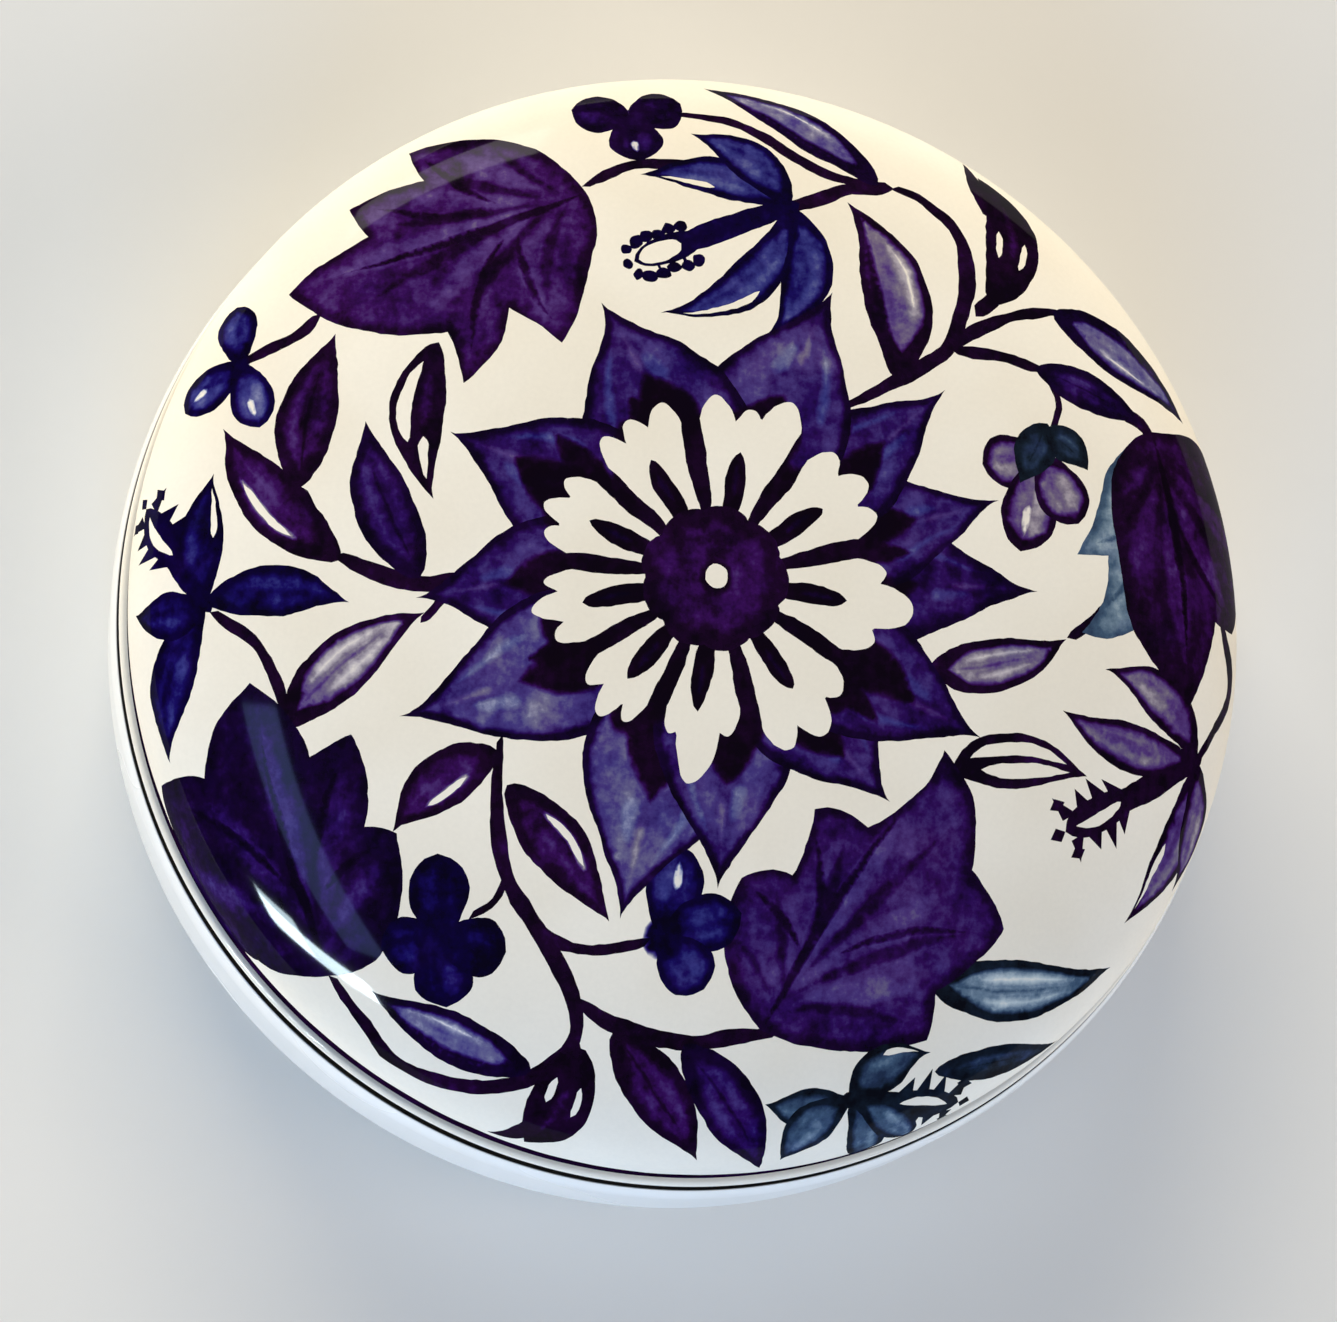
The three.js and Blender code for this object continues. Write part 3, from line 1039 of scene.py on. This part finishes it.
def linear(red, green, blue):
    """A colour as a photograph shows it, 0 to 255, as the shader wants it."""
    values = [channel / 255 for channel in (red, green, blue)]
    return [v / 12.92 if v <= 0.04045 else ((v + 0.055) / 1.055) ** 2.4 for v in values] + [1.0]


VARNISH_IOR = 1.4


class Nodes:
    """A material's node tree, with short ways to add nodes and link them."""

    def __init__(self, name):
        self.material = bpy.data.materials.new(name)
        self.material.use_nodes = True
        self.tree = self.material.node_tree
        self.tree.nodes.clear()
        output = self.add("ShaderNodeOutputMaterial")
        self.shader = self.add("ShaderNodeBsdfPrincipled")
        self.link(self.shader.outputs[0], output.inputs["Surface"])
        self.place = self.add("ShaderNodeTexCoord").outputs["Object"]

    def add(self, kind, **values):
        node = self.tree.nodes.new(kind)
        for key, value in values.items():
            setattr(node, key, value)
        return node

    def link(self, output, socket):
        self.tree.links.new(output, socket)

    def feed(self, sockets, values):
        """Sets each socket to its number or colour, or links it to its output."""
        for socket, value in zip(sockets, values):
            if isinstance(value, (int, float, list, tuple)):
                socket.default_value = value
            else:
                self.link(value, socket)

    def math(self, operation, first, second, clamp=False):
        node = self.add("ShaderNodeMath", operation=operation, use_clamp=clamp)
        self.feed(node.inputs, (first, second))
        return node.outputs[0]

    def noise(self, size_mm, detail=3.0, roughness=0.55, stretch=None):
        """Noise with features of about this size."""
        node = self.add("ShaderNodeTexNoise")
        node.inputs["Scale"].default_value = 1 / (size_mm * MM)
        node.inputs["Detail"].default_value = detail
        node.inputs["Roughness"].default_value = roughness
        source = self.place
        if stretch:
            mapping = self.add("ShaderNodeMapping")
            mapping.inputs["Scale"].default_value = stretch
            self.link(self.place, mapping.inputs["Vector"])
            source = mapping.outputs[0]
        self.link(source, node.inputs["Vector"])
        return node.outputs["Fac"]

    def ramp(self, value, stops):
        node = self.add("ShaderNodeValToRGB")
        node.color_ramp.interpolation = "LINEAR"
        elements = node.color_ramp.elements
        while len(elements) < len(stops):
            elements.new(1.0)
        for element, (position, colour) in zip(elements, stops):
            element.position = position
            element.color = colour
        self.link(value, node.inputs["Fac"])
        return node.outputs["Color"]

    def mix(self, amount, first, second):
        node = self.add("ShaderNodeMix", data_type="RGBA")
        self.feed((node.inputs[0], node.inputs[6], node.inputs[7]), (amount, first, second))
        return node.outputs[2]

    def range(self, value, low, high, to_low=0.0, to_high=1.0):
        node = self.add("ShaderNodeMapRange")
        self.feed(node.inputs, (value, low, high, to_low, to_high))
        return node.outputs[0]

    def bump(self, height, strength, distance_mm):
        node = self.add("ShaderNodeBump")
        node.inputs["Strength"].default_value = strength
        node.inputs["Distance"].default_value = distance_mm * MM
        self.link(height, node.inputs["Height"])
        self.link(node.outputs[0], self.shader.inputs["Normal"])

    def varnish(self, coat, coat_roughness, specular):
        self.link(coat, self.shader.inputs["Coat Weight"])
        self.shader.inputs["Coat IOR"].default_value = VARNISH_IOR
        self.shader.inputs["Coat Roughness"].default_value = coat_roughness
        self.shader.inputs["Specular IOR Level"].default_value = specular


PAPER_COLOUR = linear(238, 231, 217)
BARE = 0.04  # tone up to which the paper shows as it is
INK_STOPS = (0.2, 0.4, 0.56, 0.74, 0.88, 1.0)


def washes(*colours):
    """The stops of a ramp from bare paper through an ink's washes to its darkest."""
    stops = [(0.0, PAPER_COLOUR), (BARE, PAPER_COLOUR)]
    return stops + [(stop, linear(*colour)) for stop, colour in zip(INK_STOPS, colours)]


VIOLET_INKS = washes((184, 176, 182), (118, 108, 128), (82, 56, 120), (54, 14, 84), (28, 6, 38),
                     (12, 4, 16))
BLUE_INKS = washes((168, 174, 200), (92, 98, 148), (52, 54, 124), (22, 12, 88), (11, 3, 50),
                   (7, 3, 24))
SLATE_INKS = washes((176, 190, 196), (110, 130, 148), (64, 86, 110), (36, 50, 76), (20, 30, 42),
                    (10, 12, 20))


def printed_enamel():
    """Cream enamel printed with watercolour-like ink under clear varnish; the same inks colour the
    painted shade at the skirt's foot and crease.
    """
    nodes = Nodes("printed_enamel")
    attribute = nodes.add("ShaderNodeAttribute", attribute_name="print_and_painted_shade")
    split = nodes.add("ShaderNodeSeparateXYZ")
    nodes.link(attribute.outputs["Vector"], split.inputs[0])
    ink, hue, shine = split.outputs

    pools = nodes.math("SUBTRACT", nodes.noise(5.0, 4.0, 0.6), 0.5)
    grain = nodes.math("SUBTRACT", nodes.noise(0.9, 4.0, 0.65), 0.5)
    streaks = nodes.math("SUBTRACT", nodes.noise(2.2, 3.0, 0.6, (1.0, 0.35, 1.0)), 0.5)
    mottle = nodes.math("ADD", nodes.math("MULTIPLY", pools, 0.5),
                        nodes.math("MULTIPLY", grain, 0.48))
    mottle = nodes.math("ADD", mottle, nodes.math("MULTIPLY", streaks, 0.44))
    washed = nodes.range(ink, BARE, PALE)
    settled = nodes.range(ink, 0.8, 1.0, 1.0, 0.45)
    amount = nodes.math("MULTIPLY", washed, settled)
    wet = nodes.math("ADD", ink, nodes.math("MULTIPLY", mottle, amount), True)

    violet = nodes.ramp(wet, VIOLET_INKS)
    blue = nodes.ramp(wet, BLUE_INKS)
    slate = nodes.ramp(wet, SLATE_INKS)
    tinted = nodes.math("ADD", hue, nodes.math("MULTIPLY", pools, 0.5))
    colour = nodes.mix(nodes.range(tinted, 0.0, 0.5), violet, blue)
    colour = nodes.mix(nodes.range(tinted, 0.55, 1.0), colour, slate)
    paper = nodes.mix(nodes.range(nodes.noise(14.0, 2.0), 0.3, 0.7), linear(240, 234, 221),
                      linear(233, 225, 209))
    speck = nodes.range(nodes.noise(0.35, 2.0), 0.3, 0.75, 0.97, 1.0)
    bright = nodes.add("ShaderNodeVectorMath", operation="SCALE")
    nodes.link(paper, bright.inputs[0])
    nodes.link(speck, bright.inputs["Scale"])
    bare = nodes.range(wet, 0.0, 0.1, 1.0, 0.0)
    colour = nodes.mix(bare, colour, bright.outputs[0])
    nodes.link(colour, nodes.shader.inputs["Base Color"])
    nodes.link(nodes.range(nodes.noise(3.0, 3.0), 0.3, 0.7, 0.26, 0.36),
               nodes.shader.inputs["Roughness"])
    nodes.bump(nodes.noise(2.4, 1.0), 0.05, 0.02)
    nodes.varnish(nodes.math("MULTIPLY", shine, 0.8), 0.06, 0.0)
    return nodes.material


def lip_radius():
    """Where the base's shoulder turns down into the gap under the lid."""
    return BODY_RADIUS - SHOULDER_RUN + SHOULDER_RUN * math.cos(math.radians(LIP_ANGLE))


GROOVE_REACH = 2.0  # mm below the seat, from where the groove's painted shade may start


def white_enamel():
    """Plain glossy white, a little warm, with painted shade in the groove under the lid."""
    nodes = Nodes("white_enamel")
    clean = nodes.mix(nodes.range(nodes.noise(9.0, 3.0), 0.3, 0.7), linear(243, 242, 238),
                      linear(238, 236, 230))
    split = nodes.add("ShaderNodeSeparateXYZ")
    nodes.link(nodes.place, split.inputs[0])
    round_axis = nodes.add("ShaderNodeCombineXYZ")
    nodes.link(split.outputs[0], round_axis.inputs[0])
    nodes.link(split.outputs[1], round_axis.inputs[1])
    from_axis = nodes.add("ShaderNodeVectorMath", operation="LENGTH")
    nodes.link(round_axis.outputs[0], from_axis.inputs[0])
    groove = nodes.range(from_axis.outputs["Value"], (lip_radius() - 0.02) * MM,
                         (lip_radius() - 0.12) * MM, 0.0, 1.0)
    high = nodes.math("GREATER_THAN", split.outputs[2], (SEAT_HEIGHT - GROOVE_REACH) * MM)
    groove_shade = nodes.math("MULTIPLY", groove, high)
    # Painted shade: the groove behind the base's lip and the neck under the lid are coloured near
    # black.
    colour = nodes.mix(groove_shade, clean, linear(18, 10, 16))
    nodes.link(colour, nodes.shader.inputs["Base Color"])
    nodes.link(nodes.range(nodes.noise(16.0, 0.0), 0.3, 0.7, 0.24, 0.3),
               nodes.shader.inputs["Roughness"])
    nodes.bump(nodes.noise(9.0, 0.0), 0.02, 0.02)
    nodes.varnish(nodes.range(groove_shade, 0.0, 1.0, 0.35, 0.0), 0.1, 0.3)
    return nodes.material


def bare_tin():
    """The unpainted inside: dull bright metal with faint rolling marks."""
    nodes = Nodes("bare_tin")
    streaks = nodes.noise(0.5, 4.0, 0.6, (1.0, 0.04, 1.0))
    nodes.link(nodes.mix(nodes.range(streaks, 0.3, 0.7), linear(205, 200, 190),
                         linear(180, 174, 163)),
               nodes.shader.inputs["Base Color"])
    nodes.link(nodes.range(streaks, 0.3, 0.7, 0.28, 0.42), nodes.shader.inputs["Roughness"])
    nodes.shader.inputs["Metallic"].default_value = 1.0
    nodes.bump(streaks, 0.1, 0.02)
    return nodes.material


def floor_material():
    nodes = Nodes("pale_floor")
    colour = nodes.mix(nodes.noise(40.0, 3.0), linear(226, 224, 220), linear(220, 218, 214))
    nodes.link(colour, nodes.shader.inputs["Base Color"])
    nodes.shader.inputs["Roughness"].default_value = 0.85
    return nodes.material


# Stage and light

FLOOR_REACH = 1.5     # metres to each side
FLOOR_DROP = 0.00005  # metres below the foot ring


def make_floor():
    mesh = bpy.data.meshes.new("floor")
    signs = (-1, -1), (1, -1), (1, 1), (-1, 1)
    corners = [(x * FLOOR_REACH, y * FLOOR_REACH, 0) for x, y in signs]
    mesh.from_pydata(corners, [], [(0, 1, 2, 3)])
    mesh.materials.append(floor_material())
    floor = bpy.data.objects.new("floor", mesh)
    floor.location.z = -FLOOR_DROP
    bpy.context.scene.collection.objects.link(floor)


def rectangle_lamp(name, size, power, colour):
    data = bpy.data.lights.new(name, "AREA")
    data.shape = "RECTANGLE"
    data.size, data.size_y = size
    data.energy = power
    data.color = colour
    lamp = bpy.data.objects.new(name, data)
    bpy.context.scene.collection.objects.link(lamp)
    return lamp


def soft_light(name, place, size, power, colour):
    """A light that faces the tin and isn't mirrored in its gloss; place and size in metres."""
    light = rectangle_lamp(name, size, power, colour)
    light.location = place
    light.visible_glossy = False
    facing = Vector((0, 0, AIM_HEIGHT)) - Vector(place)
    light.rotation_euler = facing.to_track_quat("-Z", "Y").to_euler()


AIM_HEIGHT = 0.015
SOFT_LIGHTS = (  # name, place and size in metres, power in watts, colour
    ("key", (-0.2, 0.94, 0.44), (0.7, 0.7), 13.5, (1.0, 0.94, 0.79)),
    ("sky", (-0.24, -1.36, 0.63), (0.8, 0.6), 13.4, (0.24, 0.54, 1.0)),
    ("doorway", (-0.96, -0.3, 0.14), (0.5, 0.25), 5.8, (1.0, 0.93, 0.82)),
    ("wall", (0.88, -0.28, 0.5), (0.6, 0.6), 5.0, (1.0, 0.88, 0.74)),
)
LAMP_DISTANCE = 0.9
# Lamps that show as mirror images on the lid: name, the pixels of the photograph between which the
# image lies, thickness in metres, radiance and colour
MIRROR_LAMPS = (
    ("window_streak", (264, 904), (374, 994), 0.085, 95.0, (0.72, 0.92, 1.0)),
    ("window_streak_head", (265, 905), (304, 939), 0.12, 60.0, (0.72, 0.92, 1.0)),
    ("window_band", (258, 705), (368, 955), 0.13, 3.4, (0.3, 0.44, 1.0)),
    ("wall_glow", (352, 224), (545, 138), 0.2, 3.6, (1.0, 0.95, 0.9)),
)


def mirrored(pixel):
    """Where a ray through this pixel has gone, a lamp's distance after the lid mirrors it."""
    flat = on_skin(pixel)
    place, normal = (Vector(values[0]) for values in skin_places(flat[None]))
    eye = view_axes()[0]
    ray = (place - eye).normalized()
    return place * MM + (ray - 2 * ray.dot(normal) * normal) * LAMP_DISTANCE


def mirror_lamp(name, first, last, thickness, radiance, colour):
    """A strip lamp whose mirror image on the lid runs from one pixel to another."""
    start, end = mirrored(first), mirrored(last)
    middle = (start + end) / 2
    along = (end - start).normalized()
    facing = (Vector((0, 0, CROWN_HEIGHT * MM)) - middle).normalized()
    across = facing.cross(along).normalized()
    facing = along.cross(across).normalized()
    length = (end - start).length
    power = radiance * math.pi * length * thickness
    lamp = rectangle_lamp(name, (length, thickness), power, colour)
    turn = Matrix((along, across, -facing)).transposed().to_4x4()
    lamp.matrix_world = Matrix.Translation(middle) @ turn
    lamp.visible_diffuse = False


WORLD_STRENGTH, WORLD_IN_GLOSS = 0.22, 0.04


def make_lights():
    world = bpy.data.worlds.new("studio")
    world.use_nodes = True
    tree = world.node_tree
    background = tree.nodes["Background"]
    background.inputs["Color"].default_value = (1.0, 0.97, 0.95, 1.0)
    path = tree.nodes.new("ShaderNodeLightPath")
    strength = tree.nodes.new("ShaderNodeMapRange")
    for socket, number in zip(strength.inputs[1:5], (0.0, 1.0, WORLD_STRENGTH, WORLD_IN_GLOSS)):
        socket.default_value = number
    tree.links.new(path.outputs["Is Glossy Ray"], strength.inputs[0])
    tree.links.new(strength.outputs[0], background.inputs["Strength"])
    bpy.context.scene.world = world
    for values in SOFT_LIGHTS:
        soft_light(*values)
    for values in MIRROR_LAMPS:
        mirror_lamp(*values)
    bpy.context.scene.view_settings.view_transform = "Standard"


white = white_enamel()
tin = bare_tin()
lid = make_lid([printed_enamel(), tin])
base = make_base([white, tin])
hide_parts("lid")
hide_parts("base")
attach(lid, "root")
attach(base, "root")
make_floor()
make_lights()
